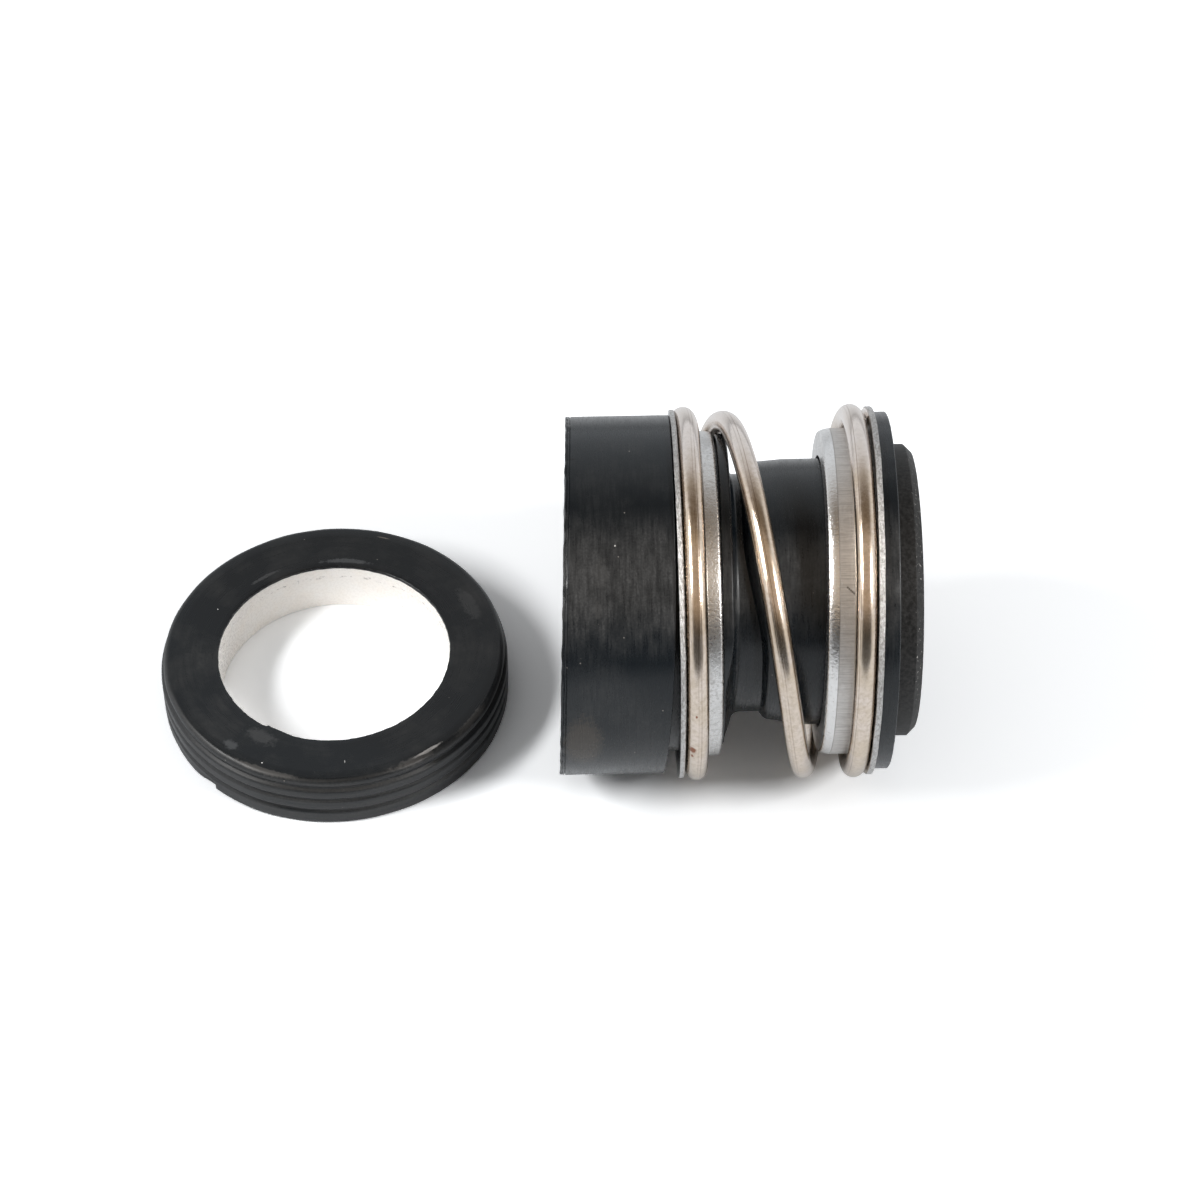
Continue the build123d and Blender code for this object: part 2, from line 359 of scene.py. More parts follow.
def hypotenuse(tree, first, second):
    """Length of a flat vector from its two parts."""
    squares = [maths(tree, "MULTIPLY", part, part) for part in (first, second)]
    return maths(tree, "SQRT", maths(tree, "ADD", *squares))


def painted(tree, colour, share, paint, strength=1.0):
    """A colour with paint over it where share is 1."""
    return blend_colour(tree, maths(tree, "MULTIPLY", share, strength), colour, paint)


def blend_colour(tree, share, first, second):
    """The first colour where share is 0, the second where it is 1."""
    made = add(tree, "Mix", data_type="RGBA")
    for index, value in ((0, share), (6, first), (7, second)):
        if isinstance(value, bpy.types.NodeSocket):
            tree.links.new(value, made.inputs[index])
        else:
            made.inputs[index].default_value = value
    return made.outputs[2]


def grey(level, warmth=0.0):
    """A near-neutral colour; warmth is the share that red gains and blue loses."""
    return (level * (1 + warmth), level, level * (1 - warmth), 1.0)


def bump(tree, height, distance, strength, normal=None):
    """A normal tilted by a height from 0 to 1, which stands for a distance in millimetres."""
    inputs = {"Height": height, "Distance": distance * MM, "Strength": strength}
    if normal:
        inputs["Normal"] = normal
    return add(tree, "Bump", inputs).outputs["Normal"]


def dress(tree, shader, colour, roughness, normal):
    """Links the three sockets that vary over every surface here."""
    tree.links.new(colour, shader.inputs["Base Color"])
    tree.links.new(roughness, shader.inputs["Roughness"])
    tree.links.new(normal, shader.inputs["Normal"])


def facing(tree, here, angle):
    """Cosine of the angle from a direction round the shaft axis to a point, and its radius."""
    apart = add(tree, "SeparateXYZ", {0: here})
    y, z = apart.outputs["Y"], apart.outputs["Z"]
    radius = hypotenuse(tree, y, z)
    first = maths(tree, "MULTIPLY", y, cos(radians(angle)))
    along = maths(tree, "ADD", first, maths(tree, "MULTIPLY", z, sin(radians(angle))))
    return maths(tree, "DIVIDE", along, radius), radius


def about_seat(tree, here):
    """Radius, millimetres round and height about the seat's own axis, and the radius alone."""
    apart = add(tree, "VectorMath", {0: here, 1: seat_centre}, operation="SUBTRACT").outputs[0]
    apart = add(tree, "SeparateXYZ", {0: apart})
    x, y = apart.outputs["X"], apart.outputs["Y"]
    radius = hypotenuse(tree, x, y)
    turn = maths(tree, "MULTIPLY", maths(tree, "ARCTAN2", y, x), seat_mean_r)
    joined = add(tree, "CombineXYZ", {0: radius, 1: turn, 2: apart.outputs["Z"]})
    return joined.outputs[0], radius


# --- Materials --------------------------------------------------------------
def rubber(name, level, dust, haze_low, haze_high, streak_scale, marks=(), glare_middle=None, ring=False):
    """Moulded black rubber: a soft gloss under an uneven film of dust with fine mould streaks.

    level and dust are the greys of rubber and film, and haze_low to haze_high the part of the
    clouds that carries film. glare_middle is the middle of a band of heavier film, round the shaft
    axis, on the side that faces the camera and lamps: partly dust and partly a painted highlight
    for the lamps' broad glare. ring lays streaks and marks round the seat's own axis, with dust on
    its ribs.
    """
    material, tree, shader = new_material(name)
    here = place(tree)
    laid, seat_radius = about_seat(tree, here) if ring else (here, None)
    clouds = noise(tree, here, 0.16, 4.0, 0.6)
    streaks = noise(tree, stretched(tree, laid, streak_scale), 1.0, 4.0, 0.7)
    grain = noise(tree, here, 5.0, 4.0, 0.6)
    haze = span(tree, clouds, haze_low, haze_high)
    # painted highlight mixed with dust: heavier film in a band on the side facing the camera and
    # lamps, standing in for their broad glare
    if glare_middle is not None:
        patches = noise(tree, stretched(tree, here, (0.45, 0.35, 0.35)), 1.0, 5.0, 0.65)
        patches = span(tree, patches, 0.35, 0.62, 0.3, 1.0)
        band = span(tree, facing(tree, here, glare_middle)[0], cos(radians(25)), cos(radians(7)))
        haze = maths(tree, "MULTIPLY", haze, 0.3)
        haze = maths(tree, "MAXIMUM", haze, maths(tree, "MULTIPLY", band, patches))
    if ring:
        side = span(tree, seat_radius, cup_r - 1.0, cup_r - 0.5)
        haze = maths(tree, "MAXIMUM", haze, side)
    fine = span(tree, streaks, 0.36, 0.66, 0.30, 1.0)
    thin = maths(tree, "MULTIPLY", fine, span(tree, grain, 0.3, 0.7, 0.4, 1.0))
    film = maths(tree, "MULTIPLY", haze, thin)
    colour = blend_colour(tree, film, grey(level, -0.35), grey(dust, 0.02))
    specks = spots(tree, here, 0.5, 0.045)
    colour = painted(tree, colour, specks, grey(0.30, 0.1), 0.6)
    for spot, reach, ragged, paint, strength in marks:
        colour = painted(tree, colour, mark(tree, laid, spot, reach, ragged), paint, strength)
    rough = span(tree, streaks, 0.3, 0.7, 0.22, 0.30)
    if not ring:
        inside = span(tree, facing(tree, here, 0.0)[1], neck_bore_r + 0.6, neck_bore_r + 0.3)
        rough = maths(tree, "ADD", rough, maths(tree, "MULTIPLY", inside, 0.3))
    rough = maths(tree, "ADD", rough, maths(tree, "MULTIPLY", film, 0.30))
    relief = maths(tree, "MULTIPLY", streaks, 0.6)
    relief = maths(tree, "ADD", relief, maths(tree, "MULTIPLY", grain, 0.4))
    dress(tree, shader, colour, rough, bump(tree, relief, 0.007, 0.6))
    shader.inputs["IOR"].default_value = 1.42
    return material


def stamped_steel():
    """Satin stainless sheet: the head cup scraped behind a clean bowed band, edges sheared."""
    material, tree, shader = new_material("stamped_steel")
    here = place(tree)
    apart = add(tree, "SeparateXYZ", {0: here})
    x, y, z = (apart.outputs[axis] for axis in "XYZ")
    radius = hypotenuse(tree, y, z)
    satin = noise(tree, here, 3.6, 3.0, 0.6)
    clouds = noise(tree, here, 0.5, 3.0, 0.5)
    drawn = noise(tree, stretched(tree, wrap(tree), (6.0, 0.3, 1.0)), 1.0, 3.0, 0.65)
    # the cup leans, and so does the seam that its scraped part starts at
    lean, about = tan(radians(head_lean)), radians(head_lean_about)
    level_y = maths(tree, "MULTIPLY", y, -lean * cos(about))
    level_z = maths(tree, "MULTIPLY", z, -lean * sin(about))
    level_x = maths(tree, "ADD", x, maths(tree, "ADD", level_y, level_z))
    seam_x = cup_end_x + cup_band
    on_wall = span(tree, radius, collar_r - 0.4, collar_r - 0.3)
    on_cup = maths(tree, "MULTIPLY", on_wall, span(tree, radius, collar_r + 0.4, collar_r + 0.3))
    scraped = maths(tree, "MULTIPLY", span(tree, level_x, seam_x - 0.04, seam_x + 0.04), on_cup)
    scrapes = noise(tree, stretched(tree, here, (0.25, 7.0, 7.0)), 1.0, 3.0, 0.6)
    edge = span(tree, radius, retainer_r - 0.10, retainer_r - 0.04)
    tears = noise(tree, stretched(tree, here, (5.0, 2.2, 2.2)), 1.0, 5.0, 0.8)
    base = blend_colour(tree, span(tree, clouds, 0.35, 0.7), grey(0.70, 0.01), grey(0.60, 0.02))
    base = painted(tree, base, span(tree, drawn, 0.45, 0.7), grey(0.50, 0.02), 0.45)
    base = painted(tree, base, span(tree, satin, 0.52, 0.64), grey(0.34, 0.04), 0.5)
    scuffs = noise(tree, stretched(tree, here, (1.2, 4.0, 4.0)), 1.0, 3.0, 0.6)
    scuffs = span(tree, scuffs, 0.35, 0.65, 0.75, 1.0)
    scraped_colour = blend_colour(tree, scuffs, grey(0.50, 0.03), grey(0.66, 0.03))
    base = painted(tree, base, scraped, scraped_colour, 0.85)
    bowed = maths(tree, "MULTIPLY", on_cup, span(tree, level_x, seam_x + 0.04, seam_x - 0.04))
    bowed = maths(tree, "MULTIPLY", bowed, span(tree, x, cup_end_x - 1.0, cup_end_x - 0.8))
    base = painted(tree, base, bowed, grey(0.84, 0.01), 0.55)
    lines = maths(tree, "MULTIPLY", scraped, span(tree, drawn, 0.42, 0.62))
    base = painted(tree, base, lines, grey(0.36, 0.04), 0.5)
    torn = maths(tree, "MULTIPLY", edge, span(tree, tears, 0.45, 0.62))
    base = painted(tree, base, torn, grey(0.28, 0.06))
    off_seam = maths(tree, "ABSOLUTE", maths(tree, "SUBTRACT", level_x, seam_x))
    seam = maths(tree, "MULTIPLY", span(tree, off_seam, 0.07, 0.02), on_cup)
    base = painted(tree, base, seam, grey(0.20, 0.1), 0.6)
    # a short fibre lies across the scraped part on the near side
    fibre = 0.0
    for step in range(6):
        spot = on(cup_end_x + 1.85 + 0.15 * step, collar_r, 131.2 + 0.5 * step)
        fibre = maths(tree, "MAXIMUM", mark(tree, here, spot, (0.13, 0.13, 0.13)), fibre)
    base = painted(tree, base, fibre, grey(0.10, 0.1), 0.8)
    rough = span(tree, satin, 0.3, 0.7, 0.22, 0.36)
    rough = maths(tree, "ADD", rough, maths(tree, "MULTIPLY", scraped, 0.22))
    rough = maths(tree, "SUBTRACT", rough, maths(tree, "MULTIPLY", bowed, 0.06))
    rough = maths(tree, "ADD", rough, maths(tree, "MULTIPLY", edge, 0.05))
    normal = bump(tree, satin, 0.045, 0.8)
    normal = bump(tree, drawn, 0.015, 0.6, normal)
    normal = bump(tree, maths(tree, "MULTIPLY", scrapes, scraped), 0.03, 0.8, normal)
    normal = bump(tree, maths(tree, "MULTIPLY", tears, edge), 0.12, 1.0, normal)
    dress(tree, shader, base, rough, normal)
    shader.inputs["Metallic"].default_value = 1.0
    return material


def spring_wire():
    """Drawn stainless wire with a warm cast: die lines along it, mottling and rust spots, painted
    shade high on its near side and a painted highlight over the top.
    """
    material, tree, shader = new_material("spring_wire")
    along = wrap(tree)
    here = place(tree)
    apart = add(tree, "SeparateXYZ", {0: along})
    length, turned_by = apart.outputs["X"], apart.outputs["Y"]
    # the wire is twisted a little as it is coiled, so its die lines wander from right to left
    line_place = maths(tree, "ADD", maths(tree, "MULTIPLY", length, 0.004), pi - 0.55)
    off_line = maths(tree, "SUBTRACT", turned_by, line_place)
    wander = noise(tree, stretched(tree, along, (0.05, 0.0, 1.0)), 1.0, 2.0, 0.5)
    off_line = maths(tree, "ADD", off_line, span(tree, wander, 0.0, 1.0, -0.16, 0.16))
    first_line = span(tree, maths(tree, "ABSOLUTE", off_line), 0.055, 0.015)
    off_second = maths(tree, "ABSOLUTE", maths(tree, "SUBTRACT", off_line, 0.27))
    second_line = maths(tree, "MULTIPLY", span(tree, off_second, 0.05, 0.015), 0.6)
    broken = noise(tree, stretched(tree, along, (0.4, 0.5, 1.0)), 1.0, 3.0, 0.6)
    broken = span(tree, broken, 0.35, 0.5, 0.35, 1.0)
    die = maths(tree, "MULTIPLY", maths(tree, "MAXIMUM", first_line, second_line), broken)
    lines = noise(tree, stretched(tree, along, (0.12, 5.0, 1.0)), 1.0, 4.0, 0.7)
    stains = noise(tree, here, 0.35, 4.0, 0.6)
    mottle = noise(tree, here, 2.6, 4.0, 0.65)
    grain = noise(tree, here, 6.0, 3.0, 0.6)
    stained = span(tree, stains, 0.35, 0.65)
    colour = blend_colour(tree, stained, (0.76, 0.668, 0.60, 1), (0.67, 0.57, 0.46, 1))
    colour = painted(tree, colour, span(tree, mottle, 0.42, 0.68), (0.47, 0.385, 0.29, 1), 0.6)
    # the coils are painted darker and browner high on their near side, a painted shade broken up by
    # the stain clouds, and paler over the top, a painted highlight
    point = add(tree, "SeparateXYZ", {0: here})
    above = span(tree, point.outputs["Z"], 4.0, 12.0)
    near_side = span(tree, point.outputs["Y"], 3.0, -3.0)
    painted_near_shade = maths(tree, "MULTIPLY", above, span(tree, stains, 0.35, 0.6, 0.4, 1.0))
    painted_near_shade = maths(tree, "MULTIPLY", painted_near_shade, near_side)
    colour = painted(tree, colour, painted_near_shade, (0.50, 0.40, 0.30, 1), 0.5)
    painted_top_highlight = maths(tree, "MULTIPLY", above, maths(tree, "SUBTRACT", 1.0, near_side))
    colour = painted(tree, colour, painted_top_highlight, (0.86, 0.80, 0.77, 1), 0.6)
    colour = painted(tree, colour, die, (0.22, 0.15, 0.11, 1), 0.5)
    pits = spots(tree, stretched(tree, along, (0.8, 1.6, 1.0)), 1.0, 0.05)
    colour = painted(tree, colour, pits, (0.16, 0.09, 0.05, 1), 0.6)
    for x, angle, size in ((0.75, 187.5, 0.42), (0.7, 191.0, 0.25), (1.1, 172.0, 0.12)):
        spot = on(spring_low.x + x, -spring_low.z, angle)
        rust = mark(tree, here, spot, (size * 1.125, size * 1.6, size * 1.6), 0.6)
        colour = painted(tree, colour, rust, (0.22, 0.06, 0.02, 1), 0.9)
    normal = bump(tree, lines, 0.012, 0.4)
    normal = bump(tree, maths(tree, "SUBTRACT", 1.0, die), 0.015, 0.6, normal)
    normal = bump(tree, grain, 0.006, 0.5, normal)
    dress(tree, shader, colour, span(tree, grain, 0.3, 0.7, 0.15, 0.25), normal)
    shader.inputs["Metallic"].default_value = 1.0
    return material


def carbon():
    """Pressed carbon: dull and speckled, crumbled along its chamfer, its lapped face smoother."""
    material, tree, shader = new_material("carbon")
    here = place(tree)
    grain = noise(tree, here, 2.6, 5.0, 0.65)
    coarse = noise(tree, here, 0.5, 3.0, 0.5)
    colour = blend_colour(tree, span(tree, grain, 0.4, 0.75), grey(0.006, 0.0), grey(0.040, 0.03))
    colour = painted(tree, colour, span(tree, coarse, 0.45, 0.7), grey(0.024, 0.05), 0.3)
    colour = painted(tree, colour, spots(tree, here, 1.3, 0.06), grey(0.22, 0.03), 0.35)
    x = add(tree, "SeparateXYZ", {0: here}).outputs["X"]
    radius = facing(tree, here, 0.0)[1]
    chamfer_r = face_high.y - face_chamfer
    nose = span(tree, x, face_high.x - face_chamfer - 0.25, face_high.x - face_chamfer + 0.05)
    nose = maths(tree, "MULTIPLY", nose, span(tree, radius, chamfer_r - 0.1, chamfer_r))
    lapped = span(tree, x, face_high.x - 0.30, face_high.x - 0.20)
    lapped = maths(tree, "MULTIPLY", lapped, span(tree, radius, chamfer_r, chamfer_r - 0.05))
    crumbs = span(tree, noise(tree, here, 3.2, 4.0, 0.7), 0.62, 0.68)
    colour = painted(tree, colour, maths(tree, "MULTIPLY", nose, crumbs), grey(0.50, 0.05), 0.8)
    rough = span(tree, grain, 0.3, 0.7, 0.46, 0.60)
    rough = maths(tree, "SUBTRACT", rough, maths(tree, "MULTIPLY", lapped, 0.22))
    uneven = maths(tree, "SUBTRACT", 1.0, maths(tree, "MULTIPLY", lapped, 0.9))
    relief = maths(tree, "MULTIPLY", grain, uneven)
    dress(tree, shader, colour, rough, bump(tree, relief, 0.05, 0.7))
    shader.inputs["Specular IOR Level"].default_value = 0.3
    return material


def ceramic():
    """Ivory alumina with a soft gloss and a line of dirt near the rubber."""
    material, tree, shader = new_material("ceramic")
    here = place(tree)
    clouds = noise(tree, here, 0.35, 4.0, 0.6)
    grain = noise(tree, here, 4.0, 3.0, 0.6)
    height = add(tree, "SeparateXYZ", {0: here}).outputs["Z"]
    line_z = seat_high.z - 1.2
    off_line = maths(tree, "ABSOLUTE", maths(tree, "SUBTRACT", height, line_z))
    near_line = span(tree, off_line, 0.28, 0.03)
    dirt = noise(tree, stretched(tree, here, (1.6, 1.6, 4.0)), 1.0, 4.0, 0.7)
    dirty = maths(tree, "MULTIPLY", near_line, span(tree, dirt, 0.56, 0.66))
    creamy = span(tree, clouds, 0.35, 0.7)
    colour = blend_colour(tree, creamy, (1.0, 0.975, 0.94, 1), (0.98, 0.93, 0.87, 1))
    colour = painted(tree, colour, dirty, (0.10, 0.08, 0.07, 1), 0.8)
    colour = painted(tree, colour, spots(tree, here, 0.75, 0.05), (0.12, 0.08, 0.06, 1), 0.75)
    rough = span(tree, grain, 0.3, 0.7, 0.22, 0.34)
    dress(tree, shader, colour, rough, bump(tree, grain, 0.008, 0.4))
    return material


def on_seat(r, angle, height=0.0):
    """A place on the seat as its streaks are laid: radius, millimetres round, height."""
    return (r, radians(angle) * seat_mean_r, cup_high.z - height)


# Wear and painted light on the rubber: place, reach along each axis, raggedness, colour and
# strength.
# The seat has a painted glint on its rim and lighter bands along it, partly painted sheen and
# partly dust, rubs and a scratch on its back face, and specks. The tail has a nick painted as a
# dark line for the shade inside it, a speck and dull patches.
cup_marks = (
    # painted highlight: a glint on the seat's rounded rim
    (on_seat(16.9, -54.5, 0.15), (0.22, 1.7, 0.5), 0.45, grey(0.52, 0.05), 0.85),
    # a lighter band along the rim beside the glint
    (on_seat(17.1, -60.0, 0.3), (0.5, 3.2, 0.6), 0.7, grey(0.09, 0.06), 0.55),
    # painted sheen: a soft lit band along the rim
    (on_seat(17.2, -34.0, 0.3), (0.4, 3.0, 0.7), 0.7, grey(0.07, 0.06), 0.55),
    # painted sheen with dust: the rim band lit by the left lamp
    (on_seat(17.2, -113.0, 0.2), (0.35, 3.6, 0.6), 0.7, grey(0.085, 0.05), 0.6),
    (on_seat(13.4, -122.0), (1.0, 2.2, 1.0), 0.8, grey(0.060, -0.02), 0.5),
    (on_seat(16.0, -129.0), (0.6, 0.9, 1.0), 0.8, grey(0.070, -0.05), 0.7),
    (on_seat(12.7, 86.0), (0.35, 3.4, 1.0), 0.7, grey(0.090, -0.04), 0.7),
    (on_seat(13.0, 125.0), (0.25, 2.2, 1.0), 0.7, grey(0.070, -0.02), 0.7),
    (on_seat(15.2, 24.0), (0.9, 2.6, 1.0), 0.8, grey(0.050, -0.02), 0.5),
    (on_seat(16.5, 73.0), (0.07, 0.7, 1.0), 0.2, grey(0.16, 0.15), 0.8),
    (on_seat(13.7, 153.6), (0.09, 0.09, 1.0), 0.1, grey(0.60, 0.02), 1.0),
    (on_seat(16.4, -114.6), (0.09, 0.09, 1.0), 0.1, grey(0.70, 0.02), 1.0),
    (on_seat(15.0, -84.3), (0.22, 0.05, 1.0), 0.1, grey(0.45, 0.02), 1.0),
)
tail_marks = (
    # painted shade: a dark line for the shade inside a nick at the tail's end
    (on(0.75, tail_r, 84.6), (0.75, 0.12, 0.12), 0.25, grey(0.001), 1.0),
    (on(5.0, tail_r, 117.0), (0.09, 0.11, 0.11), 0.2, grey(0.45, 0.05), 1.0),
    (on(1.6, tail_r, 186.0), (2.2, 4.5, 4.5), 0.5, grey(0.040, 0.22), 0.6),
    (on(3.2, tail_r, 137.0), (0.5, 0.9, 0.9), 0.8, grey(0.070, 0.03), 0.35),
    (on(3.5, tail_r, 126.0), (0.9, 1.6, 1.6), 0.9, grey(0.070, 0.03), 0.25),
)
# middle of the bellows' band of heavier film, partly dust and partly a painted highlight for the
# lamps' glare
glare_band_middle = 129.0
bellows_rubber = rubber(
    "bellows_rubber", 0.0065, 0.068, 0.42, 0.70, (3.2, 0.3, 0.3), tail_marks, glare_band_middle)
cup_rubber = rubber("cup_rubber", 0.006, 0.042, 0.45, 0.74, (1.6, 0.12, 2.6), cup_marks, ring=True)
steel_finish = stamped_steel()
wire_finish = spring_wire()
carbon_finish = carbon()
ceramic_finish = ceramic()

# --- Bellows ----------------------------------------------------------------
tail_end_x = tail_flange_x - shoulder_gap - tail_length
shoulder_x = tail_flange_x - shoulder_gap
lip_x = tail_collar_end_x + face_gap
neck_x = lip_x + lip_length
fold_x = cup_end_x - head_tube_length
cup_inside_x = cup_end_x + head_sheet
face_back_x = face_low.x

# the third to eighth points are two fine mould lines beside the tail's end
bellows_outline = rounded([
    (tail_end_x, shaft_r, 0.3),
    (tail_end_x, tail_r, 0.12),
    (tail_end_x + 0.16, tail_r, 0.04),
    (tail_end_x + 0.22, tail_r - 0.10, 0.04),
    (tail_end_x + 0.30, tail_r + 0.02, 0.04),
    (tail_end_x + 0.40, tail_r - 0.02, 0.04),
    (tail_end_x + 0.48, tail_r - 0.12, 0.04),
    (tail_end_x + 0.56, tail_r, 0.04),
    (shoulder_x, tail_r, 0.15),
    (shoulder_x, land_r, 0.1),
    (tail_collar_end_x - groove_run, land_r, 0.3),
    (tail_collar_end_x - groove_run, groove_r),
    (lip_x, groove_r),
    (lip_x, lip_r, 0.25),
    (neck_x, lip_r, 0.25),
    (neck_x, neck_r, 0.9),
    (fold_x, neck_r, 0.1),
    (fold_x + 0.35, tube_r - 0.3, 0.9),
    (fold_x + 2.6, tube_r, 1.5),
    (cup_inside_x + face_gap, tube_r),
    (cup_inside_x + face_gap, plug_r, 0.5),
    (rubber_flange_x + face_gap, plug_r),
    (rubber_flange_x + face_gap, rubber_flange_r, 0.1),
    (rubber_front_x, rubber_flange_r, 0.15),
    (rubber_front_x, pocket_r, 0.12),
    (face_back_x - face_gap, pocket_r),
    (face_back_x - face_gap, tube_bore_r),
    (fold_x + fold_wall, tube_bore_r, 0.5),
    (fold_x + fold_wall, neck_bore_r, 0.3),
    (neck_x, neck_bore_r),
    (neck_x, shaft_r),
])


def window(turn, rise, full, fall, gone):
    """1 from one angle to another with soft ends, 0 on the rest of the ring; in degrees."""
    degrees = np.degrees(turn) % 360
    return ease(degrees, rise, full) * (1 - ease(degrees, fall, gone))


def head_tilt(r, turn):
    """How far the head's pieces stand forward, out of square with the shaft."""
    return tan(radians(head_lean)) * r * np.cos(turn - radians(head_lean_about))


def bellows_shift(x, r, turn):
    """Tail and head lean, shoulder gapes, lip tucks in, fold creases, edges are torn."""
    lean = tan(radians(tail_lean)) * r * np.cos(turn - radians(top_angle))
    wedge = -shoulder_wedge * (1 - lift(turn, top_angle)) ** 4
    share = np.clip((x - tail_end_x) / (shoulder_x - tail_end_x), 0, 1)
    outer = ease(r, shaft_r, land_r)
    moved = (1 - share) * lean + share * outer * wedge
    past = 1 - ease(x, shoulder_x + 0.05, shoulder_x + 0.6)
    moved = np.where(x > shoulder_x + 0.01, moved * past, moved)
    foot = window(turn, *lip_window)
    on_lip = (x > lip_x - 0.01) * (x < neck_x + 0.01) * ease(r, neck_r + 0.6, groove_r)
    moved = moved - lip_tuck * foot * on_lip * ease(x, lip_x - 0.1, neck_x)
    sunk = lip_sink * foot * on_lip * ease(r, groove_r - 0.1, lip_r)
    on_fold = ease(x, neck_x + 0.2, fold_x) * (1 - ease(x, fold_x, fold_x + 2.6))
    crease = (1 - window(turn, *crease_gap)) * on_fold * ease(r, neck_bore_r + 0.2, neck_r)
    moved = moved - crease_reach * crease
    on_shoulder = ease(x, fold_x - 0.1, fold_x + 0.3) * (1 - ease(x, fold_x + 1.6, fold_x + 4.5))
    flat = window(turn, *flat_window) * on_shoulder
    sunk = sunk + foot_drop * flat * ease(r, tube_bore_r, neck_r + 0.6)
    on_head = ease(x, cup_end_x - 0.6, cup_end_x)
    on_head = on_head - (1 - front_share) * ease(x, rubber_flange_x, rubber_front_x)
    moved = moved + head_tilt(r, turn) * on_head
    torn = ease(x, tail_end_x + 0.7, tail_end_x) * ease(r, tail_r - 0.5, tail_r - 0.1)
    burr = tail_burr * ripple(turn, 3, (7, 17, 29, 43, 61)) * torn
    moved = moved + tail_waves * ripple(turn, 7, (5, 11, 23, 37, 53)) * torn
    rim = ease(x, rubber_front_x - 0.3, rubber_front_x)
    rim = rim * ease(r, rubber_flange_r - 0.3, rubber_flange_r)
    burr = burr + rim_burr * ripple(turn, 4, (9, 19, 37, 53, 71)) * rim
    return x + moved, r + burr - sunk


vertices, faces, uv = turned(bellows_outline, columns=360, shift=bellows_shift)
bellows = add_piece(
    "rubber_bellows", vertices, faces, uv, None, "bellows", bellows_rubber)
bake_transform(bellows)


# --- Retainers --------------------------------------------------------------
def retainer_shift(x, r, turn):
    """The tail retainer leans against the tail, and its sheared edge is uneven."""
    lean = -tan(radians(retainer_lean)) * r * np.cos(turn - radians(top_angle))
    edge = ease(r, retainer_r - 0.3, retainer_r)
    waves = tail_flange_waves * edge * ripple(turn, 5)
    tears = sheared_burr * edge * ripple(turn, 6, (9, 23, 37, 53, 71))
    return x + lean + waves, r + tears


spring_x = spring_low.x
tail_retainer_outline = rounded([
    (tail_flange_x, collar_r - tail_sheet, tail_sheet + flange_corner),
    (tail_flange_x, retainer_r, sheared_round),
    (spring_x, retainer_r, die_round),
    (spring_x, collar_r, flange_corner),
    (tail_collar_end_x - taper_run, collar_r),
    (tail_collar_end_x, collar_r - tail_taper, tail_corner),
    (tail_collar_end_x, tail_collar_hole_r, 0.05),
    (tail_collar_end_x - tail_sheet, tail_collar_hole_r, 0.05),
    (tail_collar_end_x - tail_sheet, collar_r - tail_sheet, inside_corner),
])
vertices, faces, uv = turned(tail_retainer_outline, shift=retainer_shift)
add_piece("tail_band", vertices, faces, uv, "tail", "tail_retainer", steel_finish)


def head_retainer_shift(x, r, turn):
    """The head retainer leans, and its sheared edge is uneven."""
    edge = ease(r, retainer_r - 0.3, retainer_r)
    waves = head_flange_waves * edge * ripple(turn, 8)
    tears = sheared_burr * edge * ripple(turn, 9, (9, 23, 37, 53, 71))
    return x + head_tilt(r, turn) + waves, r + tears


head_flange_x = spring_high.x
band_steps = 6
band_shares = [step / band_steps for step in range(1, band_steps + 1)]
band = [
    (cup_end_x + cup_band * share, collar_r - cup_band_drop * (1 - share) ** 2)
    for share in band_shares
]
head_retainer_outline = rounded([
    (cup_end_x, head_cup_hole_r, 0.05),
    (cup_end_x, collar_r - cup_band_drop, head_corner),
    *band,
    (head_flange_x, collar_r, flange_corner),
    (head_flange_x, retainer_r, die_round),
    (rubber_flange_x, retainer_r, sheared_round),
    (rubber_flange_x, collar_r - head_sheet, head_sheet + flange_corner),
    (cup_inside_x, collar_r - head_sheet, inside_corner),
    (cup_inside_x, head_cup_hole_r, 0.05),
])
vertices, faces, uv = turned(head_retainer_outline, shift=head_retainer_shift)
add_piece("head_band", vertices, faces, uv, "head", "head_retainer", steel_finish)

# --- Spring -----------------------------------------------------------------
coil_r = -spring_low.z - wire_r
closed_x = spring_x + coil_lift + wire_r
climb_length = head_flange_x - spring_x - 2 * (coil_lift + wire_r)
sunk_share = (coil_lift + 2 * wire_r - tip_thickness) / climb_length
coil_places = ((tail_tip_angle, -sunk_share), *climb_angles, (head_tip_angle, 1 + sunk_share))
steps_per_turn = 200
wire_sides = 40


def steepness(index):
    """Slope of the climb at one of its places: level at the ends and where it stops."""
    if index in (0, len(coil_places) - 1):
        return 0.0
    (before, low), (here, level), (after, high) = coil_places[index - 1 : index + 2]
    left = (level - low) / (here - before)
    right = (high - level) / (after - here)
    return 2 * left * right / (left + right) if left * right > 0 else 0.0


def climb(angle):
    """Share of the way up at an angle, on a smooth curve through the places."""
    index = max(i for i in range(len(coil_places) - 1) if coil_places[i][0] <= angle)
    (start, low), (end, high) = coil_places[index : index + 2]
    run = end - start
    done = (angle - start) / run
    low_slope = steepness(index) * run
    high_slope = steepness(index + 1) * run
    bend = 3 * (high - low) - 2 * low_slope - high_slope
    twist = low_slope + high_slope - 2 * (high - low)
    return low + done * (low_slope + done * (bend + done * twist))


def tilted(points):
    """Points of the spring moved with the retainers that its ends stand on."""
    x, y, z = points[..., 0], points[..., 1], points[..., 2]
    r, turn = np.hypot(y, z), np.arctan2(z, y)
    on_head = np.clip((x - spring_x - lean_fade) / (climb_length - lean_fade - lean_hold), 0, 1)
    on_tail = np.clip((spring_x + lean_fade + lean_hold - x) / lean_fade, 0, 1)
    tail_tilt = -tan(radians(retainer_lean)) * r * np.cos(turn - radians(top_angle))
    moved = points.copy()
    moved[..., 0] = x + on_head * head_tilt(r, turn) + on_tail * tail_tilt
    return moved


